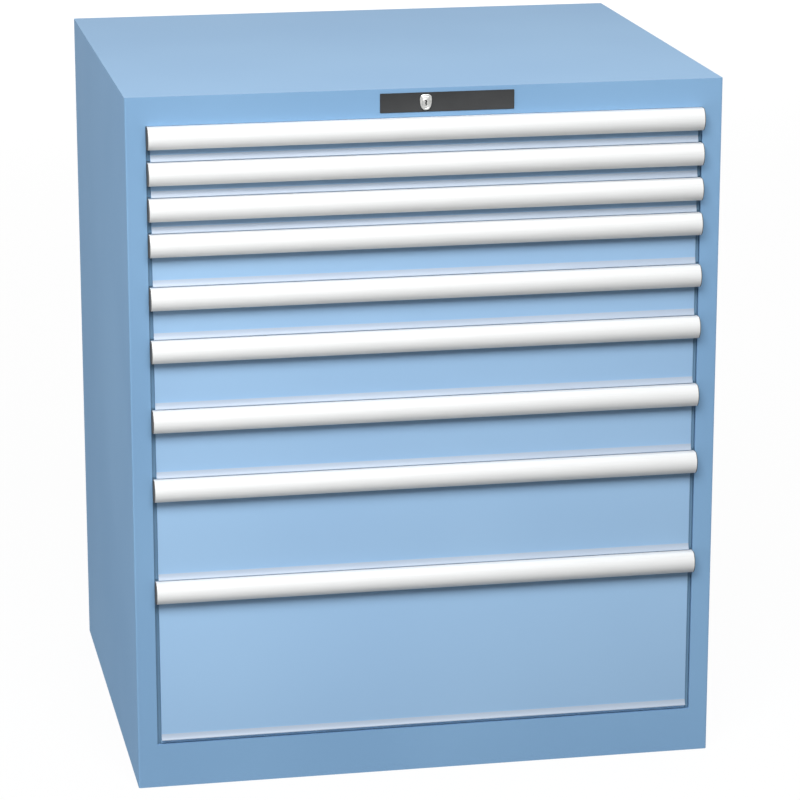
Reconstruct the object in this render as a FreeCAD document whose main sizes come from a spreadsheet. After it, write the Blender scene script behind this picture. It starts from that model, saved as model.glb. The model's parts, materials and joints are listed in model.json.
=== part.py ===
import FreeCAD, Part
import Sketcher
import os
import re

# Sheet-steel cabinet with nine full-extension drawers and a central lock, in millimetres.
# X runs across the front, Y from the front to the back, Z up. The pieces are drawn with the
# front plane of the frame at Y = 0, and each is then placed so that the origin is the middle
# of the whole footprint, handles included, at floor level.

document = FreeCAD.newDocument("drawer_cabinet")
vector = FreeCAD.Vector

# Driving dimensions
sizeRows = [
    # housing
    ("width", "840"),
    ("depth", "700"),
    ("height", "1000"),
    ("wall", "1.5"),
    ("top_sheet", "2"),
    ("bend", "2.5"),
    ("stile_width", "28"),
    ("stile_return", "20"),
    ("top_rail", "40"),
    ("rail_return", "25"),
    ("rail_rise", "4"),
    ("rear_flange", "25"),
    ("foot_flange", "30"),
    ("pan_drop", "14"),
    ("pan_skirt", "30"),
    ("gusset", "95"),
    ("gusset_sheet", "4"),
    ("anchor_inset", "55"),
    ("anchor_hole", "11"),
    # front heights, from the top drawer down
    ("front_1", "50"),
    ("front_2", "50"),
    ("front_3", "50"),
    ("front_4", "75"),
    ("front_5", "75"),
    ("front_6", "100"),
    ("front_7", "100"),
    ("front_8", "150"),
    ("front_9", "250"),
    # drawer fronts and handles
    ("front_sheet", "1.2"),
    ("front_recess", "1"),
    ("front_depth", "14"),
    ("front_side_gap", "6"),
    ("front_gap", "1"),
    ("last_front_lift", "10"),
    ("kick_height", "10"),
    ("kick_reach", "3"),
    ("kick_edge", "1"),
    ("lip_depth", "4"),
    ("lip_gap", "0.7"),
    ("handle_height", "31"),
    ("handle_reach", "19"),
    ("handle_edge", "12"),
    ("handle_wall", "2"),
    ("handle_lip", "1.6"),
    ("handle_flange", "24"),
    ("handle_end_gap", "0.7"),
    ("cap_sheet", "1"),
    # drawer boxes
    ("box_sheet", "1.2"),
    ("box_depth", "615"),
    ("box_floor", "5"),
    ("box_top_gap", "6"),
    ("box_hem", "5"),
    # runners: the rail on the cabinet, the carriage between, the rail on the drawer
    ("rail_sheet", "1.5"),
    ("rail_foot", "6"),
    ("cabinet_rail_height", "30"),
    ("cabinet_rail_width", "14"),
    ("cabinet_rail_start", "45"),
    ("drawer_rail_height", "28"),
    ("drawer_rail_width", "12.5"),
    ("carriage_length", "600"),
    ("carriage_start", "60"),
    ("carriage_height", "22"),
    ("carriage_sheet", "2"),
    ("carriage_window", "60"),
    ("roller_gap", "0.3"),
    ("roller_inset", "15"),
    ("roller_count", "2"),
    ("extension", "600"),
    # uprights
    ("upright_depth", "30"),
    ("upright_width", "20"),
    ("upright_inset", "45"),
    ("slot_pitch", "25"),
    ("slot_height", "14"),
    ("slot_width", "9"),
    ("hook_gap", "0.5"),
    ("hook_reach", "4"),
    # central lock
    ("lock_offset", "-4"),
    ("lock_drop", "19.5"),
    ("strip_width", "189"),
    ("strip_height", "27"),
    ("strip_left", "64"),
    ("strip_sheet", "1"),
    ("shield_width", "15.9"),
    ("shield_height", "21.8"),
    ("shield_sheet", "2"),
    ("shield_shoulder", "6.9"),
    ("shield_foot", "6.4"),
    ("shield_foot_width", "12.8"),
    ("shield_bulge", "0.8"),
    ("barrel", "14"),
    ("nut", "22.4"),
    ("barrel_reach", "12.8"),
    ("rotor", "10"),
    ("key_width", "1.6"),
    ("key_height", "7.2"),
    ("key_depth", "9"),
    ("turn_gap", "0.2"),
    ("cam_sheet", "2"),
    ("cam_pin", "4"),
    ("cam_edge", "1.5"),
    ("lock_throw", "12"),
    ("link_start", "17"),
    ("link_sheet", "2"),
    ("link_height", "17"),
    ("link_tab", "16"),
    ("link_edge", "2"),
    ("pin_end", "1"),
    ("bar_width", "14"),
    ("bar_sheet", "3"),
    ("bar_inset", "10.5"),
    ("bar_pin_inset", "5"),
    ("bar_pin_rise", "7"),
    ("catch_foot", "20"),
    ("catch_height", "9"),
    ("catch_sheet", "3"),
    ("catch_gap", "2"),
    ("guide_level", "38"),
]

sheet = document.addObject("Spreadsheet::Sheet", "Sizes")
for row, (alias, number) in enumerate(sizeRows, start=1):
    sheet.set("A%d" % row, alias)
    sheet.set("B%d" % row, number)
    sheet.setAlias("B%d" % row, alias)
document.recompute()

aliasPattern = re.compile(r"\b(" + "|".join(alias for alias, number in sizeRows) + r")\b")
drawerCount = 9
# How far a cutting shape reaches past the metal
past = "1"


def bound(text):
    return aliasPattern.sub(r"Sizes.\1", text)


def value(text):
    return float(sheet.evalExpression(text))


# Named places, as expressions of the driving dimensions
openHalf = "(width / 2 - stile_width)"
innerHalf = "(width / 2 - wall)"
railOuter = "(width / 2 - wall - upright_width)"
railInner = "(width / 2 - wall - upright_width - cabinet_rail_width)"
carriageOuter = "(%s - roller_gap)" % railInner
carriageInner = "(%s - carriage_sheet)" % carriageOuter
drawerRailOuter = "(%s - roller_gap)" % carriageInner
boxHalf = "(%s - drawer_rail_width)" % drawerRailOuter
frontHalf = "(%s - front_side_gap)" % openHalf
handleHalf = "(%s - handle_end_gap)" % openHalf
boxStart = "(front_recess + front_depth)"
lockLevel = "(height - lock_drop)"
barOuter = "(%s - bar_inset)" % innerHalf
barStart = "(stile_return + hook_gap)"
runnerCentre = "(rail_foot + cabinet_rail_height / 2)"
frontShift = "-(depth - handle_reach) / 2"


def level(drawer):
    stack = " - ".join("front_%d" % number for number in range(1, drawer + 1))
    return "(height - top_rail - %s)" % stack


bottomRail = "(%s + rail_rise)" % level(drawerCount)
panTop = "(%s - pan_drop)" % bottomRail

# Tools: a prism along an axis, its cut, a fillet, a row and a mirror image
planeRole = {"X": "YZ_Plane", "Y": "XZ_Plane", "Z": "XY_Plane"}


def origin(body, role):
    return [item for item in body.Origin.OriginFeatures if item.Role == role][0]


def newBody(name):
    return document.addObject("PartDesign::Body", name)


def outline(body, axis, place, corners, name):
    # Corners are (across, up) pairs. A corner with a third entry ends an arc that bulges by it.
    profile = body.newObject("Sketcher::SketchObject", name)
    profile.AttachmentSupport = [(origin(body, planeRole[axis]), "")]
    profile.MapMode = "FlatFace"
    profile.setExpression("AttachmentOffset.Base.z", bound(place))
    points = [vector(value(corner[0]), value(corner[1]), 0) for corner in corners]
    count = len(points)
    for index in range(count):
        here = points[index]
        there = points[(index + 1) % count]
        bulge = corners[(index + 1) % count][2:]
        if bulge:
            chord = there - here
            side = vector(chord.y, -chord.x, 0).normalize()
            middle = (here + there) * 0.5 + side * value(bulge[0])
            profile.addGeometry(Part.Arc(here, middle, there))
        else:
            profile.addGeometry(Part.LineSegment(here, there))
    # An arc is kept anticlockwise by the sketch, so its first end is found by its place
    ends = []
    for index in range(count):
        start = profile.getPoint(index, 1)
        forward = start.distanceToPoint(points[index]) < 1e-6
        ends.append((1, 2) if forward else (2, 1))
    for index in range(count):
        after = (index + 1) % count
        profile.addConstraint(
            Sketcher.Constraint("Coincident", index, ends[index][1], after, ends[after][0]))
    for index, corner in enumerate(corners):
        for kind, text in (("DistanceX", corner[0]), ("DistanceY", corner[1])):
            number = profile.addConstraint(
                Sketcher.Constraint(kind, -1, 1, index, ends[index][0], value(text)))
            profile.setExpression("Constraints[%d]" % number, bound(text))
        if corner[2:]:
            before = corners[index - 1]
            bulge = "abs(%s)" % corner[2]
            chord = "((%s - (%s))^2 + (%s - (%s))^2)" % (corner[0], before[0], corner[1], before[1])
            radius = "(%s + %s^2 * 4) / (8 * %s)" % (chord, bulge, bulge)
            number = profile.addConstraint(
                Sketcher.Constraint("Radius", (index - 1) % count, value(radius)))
            profile.setExpression("Constraints[%d]" % number, bound(radius))
    return profile


def prism(body, axis, low, high, corners, name, cut=False):
    # The Y plane's sketches face the front, so a prism along Y starts at its far end
    place = "-(%s)" % high if axis == "Y" else low
    profile = outline(body, axis, place, corners, name + "_outline")
    before = body.Shape.Volume if cut else 0
    feature = body.newObject("PartDesign::Pocket" if cut else "PartDesign::Pad", name)
    feature.Profile = profile
    feature.setExpression("Length", bound("(%s) - (%s)" % (high, low)))
    feature.Reversed = cut
    document.recompute()
    if cut and not body.Shape.Volume < before - 1e-6:
        raise ValueError(name + " cuts nothing")
    return feature


def rectangle(left, right, low, high):
    return [(left, low), (right, low), (right, high), (left, high)]


def edgesAt(shape, x=None, y=None, z=None):
    # Names of the straight edges that lie wholly at the given coordinates
    names = []
    for number, edge in enumerate(shape.Edges, start=1):
        fits = len(edge.Vertexes) == 2
        for corner in edge.Vertexes:
            point = corner.Point
            for want, have in ((x, point.x), (y, point.y), (z, point.z)):
                if want is not None and abs(have - value(want)) > 1e-4:
                    fits = False
        if fits:
            names.append("Edge%d" % number)
    return names


def rounded(body, base, radius, places, name):
    names = []
    for place in places:
        found = edgesAt(base.Shape, **place)
        if not found:
            raise ValueError(name + " finds no edge")
        names += found
    feature = body.newObject("PartDesign::Fillet", name)
    feature.Base = (base, sorted(set(names)))
    feature.setExpression("Radius", bound(radius))
    document.recompute()
    return feature


def row(body, base, axis, step, copies, name):
    feature = body.newObject("PartDesign::LinearPattern", name)
    feature.Originals = [base]
    feature.Direction = (origin(body, axis + "_Axis"), [""])
    feature.setExpression("Occurrences", bound(copies))
    feature.setExpression("Length", bound("(%s) * (%s - 1)" % (step, copies)))
    body.Tip = feature
    document.recompute()
    return feature


def mirrored(source, name):
    image = document.addObject("Part::Mirroring", name)
    image.Source = source
    image.Base = vector(0, 0, 0)
    image.Normal = vector(1, 0, 0)
    return image


def group(members, name):
    compound = document.addObject("Part::Compound", name)
    compound.Links = members
    return compound


subParts = []


def placed(item, label, rise="0"):
    item.Label = label
    item.setExpression("Placement.Base.y", bound(frontShift))
    item.setExpression("Placement.Base.z", bound(rise))
    subParts.append(item)
    return item


def lifted(source, name, rise):
    copy = group([source], name)
    copy.setExpression("Placement.Base.z", bound(rise))
    return copy


# Side panel: one bent sheet with the front stile, its return, the rear flange and a foot flange
def sidePanel():
    body = newBody("side_sheet")
    top = "height - top_sheet"
    profile = [
        (openHalf, "stile_return"),
        (openHalf, "0"),
        ("width / 2", "0"),
        ("width / 2", "depth"),
        ("width / 2 - rear_flange", "depth"),
        ("width / 2 - rear_flange", "depth - wall"),
        (innerHalf, "depth - wall"),
        (innerHalf, "wall"),
        (openHalf + " + wall", "wall"),
        (openHalf + " + wall", "stile_return"),
    ]
    bent = prism(body, "Z", "0", top, profile, "side_bent")
    bent = rounded(body, bent, "bend", [
        {"x": "width / 2", "y": "0"},
        {"x": "width / 2", "y": "depth"}], "side_outer_bends")
    bent = rounded(body, bent, "bend - wall", [
        {"x": innerHalf, "y": "wall"},
        {"x": innerHalf, "y": "depth - wall"}], "side_inner_bends")
    prism(body, "Z", "0", "wall", rectangle(
        innerHalf + " - foot_flange", innerHalf + " + wall / 2", "wall + bend", "depth - 2 * wall"),
        "side_foot")
    prism(body, "Z", "height - top_rail", "height", rectangle(
        "%s - %s" % (openHalf, past), openHalf + " + wall", "wall", "stile_return + " + past),
        "side_link_notch", cut=True)
    placed(body, "side_panel_right")
    image = mirrored(body, "side_image")
    image.Label = "side_panel_left"
    subParts.append(image)


# Top cover: the top sheet with the front rail bent down between the stiles
def topCover():
    body = newBody("top_sheet_body")
    plate = prism(body, "Z", "height - top_sheet", "height",
                  rectangle("-width / 2", "width / 2", "0", "depth"), "top_plate")
    rounded(body, plate, "bend", [
        {"x": "width / 2", "y": "0"}, {"x": "-width / 2", "y": "0"},
        {"x": "width / 2", "y": "depth"}, {"x": "-width / 2", "y": "depth"}], "top_corners")
    railProfile = [
        ("0", "height - top_sheet"),
        ("0", "height - top_rail"),
        ("rail_return", "height - top_rail"),
        ("rail_return", "height - top_rail + wall"),
        ("wall", "height - top_rail + wall"),
        ("wall", "height - top_sheet"),
    ]
    prism(body, "X", "-" + openHalf, openHalf, railProfile, "top_rail_bent")
    hole = frontPrism("top_lock_hole", holeSides, "barrel / 2 + turn_gap", "-wall", "3 * wall")
    placed(cutFrom(body, hole, "top_cover_cut"), "top_cover")


# Bottom rail: a channel between the stiles, with a return on top and a foot flange
def bottomFrontRail():
    body = newBody("bottom_rail_body")
    profile = [
        ("0", "wall"),
        ("0", bottomRail),
        ("rail_return", bottomRail),
        ("rail_return", bottomRail + " - wall"),
        ("wall", bottomRail + " - wall"),
        ("wall", "wall"),
    ]
    prism(body, "X", "-" + openHalf, openHalf, profile, "bottom_rail_bent")
    narrow = "(%s - foot_flange - hook_gap)" % innerHalf
    prism(body, "Z", "0", "wall", rectangle("-" + openHalf, openHalf, "0", "wall"), "bottom_rail_edge")
    prism(body, "Z", "0", "wall", rectangle("-" + narrow, narrow, "wall / 2", "foot_flange"),
          "bottom_rail_foot")
    placed(body, "bottom_rail")


# Floor of the housing: a tray turned upside down between the sides, with a skirt all round
def basePan():
    body = newBody("base_pan_body")
    low = "(%s - pan_skirt)" % panTop
    near = "(stile_return + hook_gap)"
    prism(body, "Z", low, panTop, rectangle("-" + innerHalf, innerHalf, near, "depth - 2 * wall"),
          "pan_block")
    prism(body, "Z", low, panTop + " - wall", rectangle(
        "-(%s - wall)" % innerHalf, innerHalf + " - wall", near + " + wall", "depth - 3 * wall"),
        "pan_hollow", cut=True)
    placed(body, "base_pan")


# Back panel: a sheet against the rear flanges, with returns at the top and at the floor
def backPanel():
    body = newBody("back_panel_body")
    profile = [
        ("depth - wall", "0"),
        ("depth - wall", "height - top_sheet"),
        ("depth - wall - rail_return", "height - top_sheet"),
        ("depth - wall - rail_return", "height - top_sheet - wall"),
        ("depth - 2 * wall", "height - top_sheet - wall"),
        ("depth - 2 * wall", "0"),
    ]
    narrow = "(%s - foot_flange - hook_gap)" % innerHalf
    half = "(%s - bend + wall)" % innerHalf
    prism(body, "X", "-" + half, half, profile, "back_bent")
    prism(body, "Z", "0", "wall", rectangle(
        "-" + narrow, narrow, "depth - wall - foot_flange", "depth - 1.5 * wall"), "back_foot")
    placed(body, "back_panel")


# Corner gussets: thick plates on the foot flanges, each with a hole for a floor or plinth bolt
def cornerGussets():
    corners = []
    for end, name in (("front", "front_gusset"), ("rear", "rear_gusset")):
        body = newBody(name)
        near = "(stile_return + hook_gap)" if end == "front" else "(depth - 3 * wall)"
        sign = "+" if end == "front" else "-"
        outer = innerHalf
        plate = [
            (outer, near),
            (outer, "%s %s gusset" % (near, sign)),
            (outer + " - gusset / 3", "%s %s gusset" % (near, sign)),
            (outer + " - gusset", "%s %s gusset / 3" % (near, sign)),
            (outer + " - gusset", near),
        ]
        prism(body, "Z", "wall", "wall + gusset_sheet", plate, name + "_plate")
        hole = document.addObject("Part::Cylinder", name + "_hole")
        hole.setExpression("Radius", bound("anchor_hole / 2"))
        hole.setExpression("Height", bound("3 * gusset_sheet"))
        hole.setExpression("Placement.Base.x", bound("width / 2 - anchor_inset"))
        across = "anchor_inset" if end == "front" else "depth - anchor_inset"
        hole.setExpression("Placement.Base.y", bound(across))
        drilled = document.addObject("Part::Cut", name + "_drilled")
        drilled.Base = body
        drilled.Tool = hole
        corners += [drilled, mirrored(drilled, name + "_image")]
    placed(group(corners, "gussets"), "base_gussets")


# Uprights: channels with a row of slots for the rails; one of them also guides the locking bar
slotFoot = "(%s + %s - slot_height / 2)" % (level(drawerCount), runnerCentre)
guideDrawers = (1, 6, 9)
slotCopies = "floor((height - top_rail - %s) / slot_pitch)" % level(drawerCount)


def upright(name, start, guided):
    body = newBody(name)
    far = "(%s + upright_depth)" % start
    middle = "(%s + upright_depth / 2)" % start
    web = railOuter
    profile = [
        (web, start),
        (innerHalf, start),
        (innerHalf, start + " + rail_sheet"),
        (web + " + rail_sheet", start + " + rail_sheet"),
        (web + " + rail_sheet", far + " - rail_sheet"),
        (innerHalf, far + " - rail_sheet"),
        (innerHalf, far),
        (web, far),
    ]
    prism(body, "Z", panTop, "height - top_sheet", profile, name + "_channel")
    if guided:
        for drawer in guideDrawers:
            guideLow = "(%s + guide_level)" % level(drawer)
            guideTop = guideLow + " + rail_sheet"
            prism(body, "Z", guideLow, guideTop, rectangle(
                web + " - hook_reach", innerHalf, "stile_return - hook_gap", start + " + rail_sheet"),
                "%s_guide_%d" % (name, drawer))
            prism(body, "Z", "%s - %s" % (guideLow, past), "%s + %s" % (guideTop, past), rectangle(
                barOuter + " - bar_width - roller_gap", barOuter + " + roller_gap",
                barStart + " - roller_gap", barStart + " + bar_sheet + roller_gap"),
                "%s_guide_slot_%d" % (name, drawer), cut=True)
    slotTop = slotFoot + " + slot_height"
    slot = prism(body, "X", "%s - %s" % (web, past), "%s + rail_sheet + %s" % (web, past), rectangle(
        middle + " - slot_width / 2", middle + " + slot_width / 2", slotFoot, slotTop),
        name + "_slot", cut=True)
    row(body, slot, "Z", "slot_pitch", slotCopies, name + "_slots")
    return body


frontUpright = "upright_inset"
rearUpright = "(depth - upright_inset - upright_depth)"


def uprights():
    plain = upright("upright_front", frontUpright, False)
    guided = upright("upright_guide", frontUpright, True)
    rear = upright("upright_rear", rearUpright, False)
    members = [mirrored(plain, "upright_front_image"), guided, rear, mirrored(rear, "upright_rear_image")]
    placed(group(members, "upright_set"), "uprights")


# Rail on the cabinet: a channel open towards the drawer, hooked into the slots of two uprights
def cabinetRail():
    body = newBody("cabinet_rail_body")
    top = "(rail_foot + cabinet_rail_height)"
    profile = [
        (railInner, "rail_foot"),
        (railOuter, "rail_foot"),
        (railOuter, top),
        (railInner, top),
        (railInner, top + " - rail_sheet"),
        (railOuter + " - rail_sheet", top + " - rail_sheet"),
        (railOuter + " - rail_sheet", "rail_foot + rail_sheet"),
        (railInner, "rail_foot + rail_sheet"),
    ]
    prism(body, "Y", "cabinet_rail_start", rearUpright + " + upright_depth", profile, "cabinet_rail_bent")
    for name, start in (("front", frontUpright), ("rear", rearUpright)):
        middle = "(%s + upright_depth / 2)" % start
        near = middle + " - slot_width / 2 + hook_gap"
        far = middle + " + slot_width / 2 - hook_gap"
        foot = runnerCentre + " - slot_height / 2 + hook_gap"
        head = runnerCentre + " + slot_height / 2 - hook_gap"
        root = railOuter + " - rail_sheet / 2"
        tip = railOuter + " + hook_reach"
        prism(body, "Y", near, far, [
            (root, foot), (tip, foot + " + hook_reach / 2"), (tip, head), (root, head)],
            "cabinet_rail_hook_" + name)
    return body


def cabinetRails():
    rail = cabinetRail()
    image = mirrored(rail, "cabinet_rail_image")
    members = []
    for drawer in range(1, drawerCount + 1):
        for side, source in (("right", rail), ("left", image)):
            members.append(lifted(source, "cabinet_rail_%s_%d" % (side, drawer), level(drawer)))
    placed(group(members, "cabinet_rail_set"), "cabinet_rails")


# Sides of a roller, which stand for its round tread: seventy-two rollers repeat in the cabinet
rollerSides = 10


# Carriage: a flat bar on each side, with rear rollers in the cabinet's rail and front rollers in
# the drawer's rail. It travels half as far as the drawer.
def rollers(name, low, high, diameter, first, last):
    # The rollers are riveted to the bar, so each starts at its face
    members = []
    copies = int(value("roller_count"))
    for number in range(copies):
        wheel = document.addObject("Part::Prism", "%s_%d" % (name, number + 1))
        wheel.Polygon = rollerSides
        wheel.setExpression("Circumradius", bound("(%s) / 2" % diameter))
        wheel.setExpression("Height", bound("(%s) - (%s)" % (high, low)))
        wheel.Placement = FreeCAD.Placement(vector(0, 0, 0), FreeCAD.Rotation(vector(0, 1, 0), 90))
        wheel.setExpression("Placement.Base.x", bound(low))
        place = "%s + (%s - %s) * %d / (roller_count - 1)" % (first, last, first, number)
        wheel.setExpression("Placement.Base.y", bound(place))
        wheel.setExpression("Placement.Base.z", bound(runnerCentre))
        members.append(wheel)
    return members


def carriageMaster():
    bar = newBody("carriage_bar")
    low = "(%s - carriage_height / 2)" % runnerCentre
    high = "(%s + carriage_height / 2)" % runnerCentre
    end = "(carriage_start + carriage_length)"
    prism(bar, "X", carriageInner, carriageOuter,
          rectangle("carriage_start", end, low, high), "carriage_flat")
    middle = "(carriage_start + carriage_length / 2)"
    prism(bar, "X", "%s - %s" % (carriageInner, past), "%s + %s" % (carriageOuter, past), rectangle(
        middle + " - carriage_window / 2", middle + " + carriage_window / 2",
        low + " + carriage_height / 4", high + " - carriage_height / 4"), "carriage_opening", cut=True)
    outerWheel = "(cabinet_rail_height - 2 * rail_sheet - 2 * roller_gap)"
    innerWheel = "(drawer_rail_height - 2 * rail_sheet - 2 * roller_gap)"
    railFirst = "(cabinet_rail_start + extension / 2 + roller_inset)"
    railLast = "(%s - roller_inset)" % end
    drawerLast = "(%s + box_depth - extension / 2 - roller_inset)" % boxStart
    outer = rollers("outer_roller", carriageOuter, railOuter + " - rail_sheet - roller_gap",
                    outerWheel, railFirst, railLast)
    inner = rollers("inner_roller", boxHalf + " + rail_sheet + roller_gap", carriageInner,
                    innerWheel, "(carriage_start + roller_inset)", drawerLast)
    side = group([bar] + outer + inner, "carriage_side")
    return group([side, mirrored(side, "carriage_side_image")], "carriage_pair")


def carriages():
    pair = carriageMaster()
    for drawer in range(1, drawerCount + 1):
        copy = group([pair], "carriage_copy_%d" % drawer)
        placed(copy, "carriage_%d" % drawer, level(drawer))


# Rail on the drawer: a channel open outwards. A catch in the right one meets the locking hook.
def drawerRail(name):
    body = newBody(name)
    low = "(%s - drawer_rail_height / 2)" % runnerCentre
    high = "(%s + drawer_rail_height / 2)" % runnerCentre
    profile = [
        (boxHalf, low),
        (drawerRailOuter, low),
        (drawerRailOuter, low + " + rail_sheet"),
        (boxHalf + " + rail_sheet", low + " + rail_sheet"),
        (boxHalf + " + rail_sheet", high + " - rail_sheet"),
        (drawerRailOuter, high + " - rail_sheet"),
        (drawerRailOuter, high),
        (boxHalf, high),
    ]
    prism(body, "Y", boxStart, boxStart + " + box_depth", profile, name + "_bent")
    return body


def drawerCatch():
    body = newBody("drawer_catch")
    near = "(%s + bar_sheet + hook_gap)" % barStart
    root = "(%s + rail_sheet)" % boxHalf
    tip = "(%s - catch_gap)" % openHalf
    prism(body, "Y", near, near + " + catch_sheet", [
        (root, "catch_foot"),
        (tip + " - catch_height / 3", "catch_foot"),
        (tip, "catch_foot + catch_height / 3"),
        (tip, "catch_foot + catch_height"),
        (root, "catch_foot + catch_height")], "drawer_catch_plate")
    return body


def drawerRails():
    right = drawerRail("drawer_rail")
    pair = group([right, drawerCatch(), mirrored(right, "drawer_rail_image")], "drawer_rail_pair")
    for drawer in range(1, drawerCount + 1):
        copy = group([pair], "drawer_rail_copy_%d" % drawer)
        placed(copy, "drawer_%d_runners" % drawer, level(drawer))


# Drawer box: a floor, two side walls that end in hems turned outwards, and two end plates
def drawerBox(drawer):
    name = "box_%d" % drawer
    rim = "(front_%d - box_top_gap)" % drawer
    far = "(%s + box_depth)" % boxStart
    inside = "(%s - box_sheet)" % boxHalf
    hem = "(%s + box_hem)" % boxHalf
    floor = "(box_floor + box_sheet)"
    hemFoot = rim + " - box_sheet"
    base = newBody(name + "_base")
    prism(base, "Y", boxStart, far, rectangle("-" + boxHalf, boxHalf, "box_floor", floor), name + "_floor")
    wall = newBody(name + "_wall")
    prism(wall, "Y", boxStart, far, [
        (inside, floor), (boxHalf, floor), (boxHalf, hemFoot),
        (hem, hemFoot), (hem, rim), (inside, rim)], name + "_side")
    members = [base, wall, mirrored(wall, name + "_wall_image")]
    for end, near in (("front", boxStart), ("rear", far + " - box_sheet")):
        plate = newBody("%s_%s" % (name, end))
        prism(plate, "Y", near, "%s + box_sheet" % near,
              rectangle("-" + inside, inside, floor, rim), "%s_%s_plate" % (name, end))
        members.append(plate)
    placed(group(members, name + "_set"), "drawer_%d_box" % drawer, level(drawer))


# Drawer front: a shallow tray whose lower edge kicks outwards. A strip beside each side wall closes
# the gap to the stile, and one under the last front closes the gap to the bottom rail.
def drawerFront(drawer):
    name = "front_%d_body" % drawer
    body = newBody(name)
    top = "(front_%d - front_gap / 2)" % drawer
    low = "(front_gap / 2)"
    lipFoot = low
    if drawer == drawerCount:
        low = "(front_gap / 2 + last_front_lift)"
        lipFoot = "(rail_rise + lip_gap)"
    far = boxStart
    face = "front_recess"
    inner = "(front_recess + front_sheet)"
    slope = "(kick_reach * (kick_height - front_sheet) / (kick_height - kick_edge))"
    profile = [
        (far, top),
        (face, top),
        (face, low + " + kick_height"),
        (face + " - kick_reach", low + " + kick_edge"),
        (face + " - kick_reach", low),
        (far, low),
        (far, low + " + front_sheet"),
        ("%s - %s" % (inner, slope), low + " + front_sheet"),
        (inner, low + " + kick_height"),
        (inner, top + " - front_sheet"),
        (far, top + " - front_sheet"),
    ]
    prism(body, "X", "-" + frontHalf, frontHalf, profile, name + "_bent")
    lipNear = "front_recess + lip_depth"
    lipFar = "front_recess + lip_depth + front_sheet"
    for side, sign in (("right", ""), ("left", "-")):
        edge = sign + frontHalf
        prism(body, "Z", low, top, rectangle(
            edge, "%s(%s - front_sheet)" % (sign, frontHalf), face, far), "%s_%s" % (name, side))
        prism(body, "Z", lipFoot, top, rectangle(
            edge, "%s(%s - lip_gap)" % (sign, openHalf), lipNear, lipFar), "%s_lip_%s" % (name, side))
    if drawer == drawerCount:
        prism(body, "Z", lipFoot, low + " + front_sheet", rectangle(
            "-" + frontHalf, frontHalf, lipNear, lipFar), name + "_lip_foot")
    placed(body, "drawer_%d_front" % drawer, level(drawer))


# Handle: an extruded grip across the whole front, hooked over the fingers, with end caps
def handleMaster():
    top = "(-front_gap / 2)"
    arc = "(handle_reach - handle_edge)"
    innerEdge = "(handle_edge - handle_lip)"
    innerArc = "(handle_reach - handle_wall - %s)" % innerEdge
    body = newBody("handle_body")
    profile = [
        ("front_recess", top),
        ("-handle_edge", top),
        ("-handle_edge", top + " - handle_height", arc),
        ("-" + innerEdge, top + " - handle_height + handle_lip"),
        ("-" + innerEdge, top + " - handle_wall", "-" + innerArc),
        ("front_recess - handle_wall", top + " - handle_wall"),
        ("front_recess - handle_wall", top + " - handle_flange"),
        ("front_recess", top + " - handle_flange"),
    ]
    span = "(%s - cap_sheet)" % handleHalf
    prism(body, "X", "-" + span, span, profile, "handle_extrusion")
    cap = newBody("handle_cap")
    capProfile = [
        ("front_recess", top),
        ("-handle_edge", top),
        ("-handle_edge", top + " - handle_height", arc),
        ("front_recess - handle_wall", top + " - handle_height"),
        ("front_recess", top + " - handle_height + handle_wall"),
    ]
    prism(cap, "X", span, handleHalf, capProfile, "handle_cap_plate")
    return group([body, cap, mirrored(cap, "handle_cap_image")], "handle_master")


def handles():
    master = handleMaster()
    for drawer in range(1, drawerCount + 1):
        copy = group([master], "handle_copy_%d" % drawer)
        placed(copy, "drawer_%d_handle" % drawer, "%s + front_%d" % (level(drawer), drawer))


# Lock strip: a thin dark plate on the top rail, with a hole for the lock
def lockStrip():
    body = newBody("lock_strip_body")
    left = "(lock_offset - strip_left)"
    low = "(%s - strip_height / 2)" % lockLevel
    plate = prism(body, "Y", "-strip_sheet", "0",
                  rectangle(left, left + " + strip_width", low, low + " + strip_height"), "strip_plate")
    rounded(body, plate, "strip_sheet", [
        {"x": left, "z": low}, {"x": left, "z": low + " + strip_height"},
        {"x": left + " + strip_width", "z": low},
        {"x": left + " + strip_width", "z": low + " + strip_height"}], "strip_corners")
    hole = frontPrism("strip_hole", holeSides, "barrel / 2 + turn_gap", "-2 * strip_sheet", "strip_sheet")
    placed(cutFrom(body, hole, "lock_strip_cut"), "lock_strip")


def frontCylinder(name, radius, near, far):
    # A cylinder on the lock's axis, from one depth to another
    cylinder = document.addObject("Part::Cylinder", name)
    cylinder.setExpression("Radius", bound(radius))
    cylinder.setExpression("Height", bound("(%s) - (%s)" % (far, near)))
    turn = FreeCAD.Rotation(vector(1, 0, 0), -90)
    cylinder.Placement = FreeCAD.Placement(vector(0, 0, 0), turn)
    cylinder.setExpression("Placement.Base.x", bound("lock_offset"))
    cylinder.setExpression("Placement.Base.y", bound(near))
    cylinder.setExpression("Placement.Base.z", bound(lockLevel))
    return cylinder


def frontPrism(name, sides, radius, near, far):
    # A prism with that many sides on the lock's axis, from one depth to another
    prismatic = document.addObject("Part::Prism", name)
    prismatic.Polygon = sides
    prismatic.setExpression("Circumradius", bound(radius))
    prismatic.setExpression("Height", bound("(%s) - (%s)" % (far, near)))
    turn = FreeCAD.Rotation(vector(1, 0, 0), -90)
    prismatic.Placement = FreeCAD.Placement(vector(0, 0, 0), turn)
    prismatic.setExpression("Placement.Base.x", bound("lock_offset"))
    prismatic.setExpression("Placement.Base.y", bound(near))
    prismatic.setExpression("Placement.Base.z", bound(lockLevel))
    return prismatic


def joined(members, name):
    fused = document.addObject("Part::MultiFuse", name)
    fused.Shapes = members
    return fused


def cutFrom(base, tool, name):
    result = document.addObject("Part::Cut", name)
    result.Base = base
    result.Tool = tool
    return result


# Sides of the threaded barrel, its holes and the pins, which stand for round forms, and of the nut
# and the cam
barrelSides = 16
holeSides = 20
pinSides = 12
nutSides = 6
camSides = 24


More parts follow.
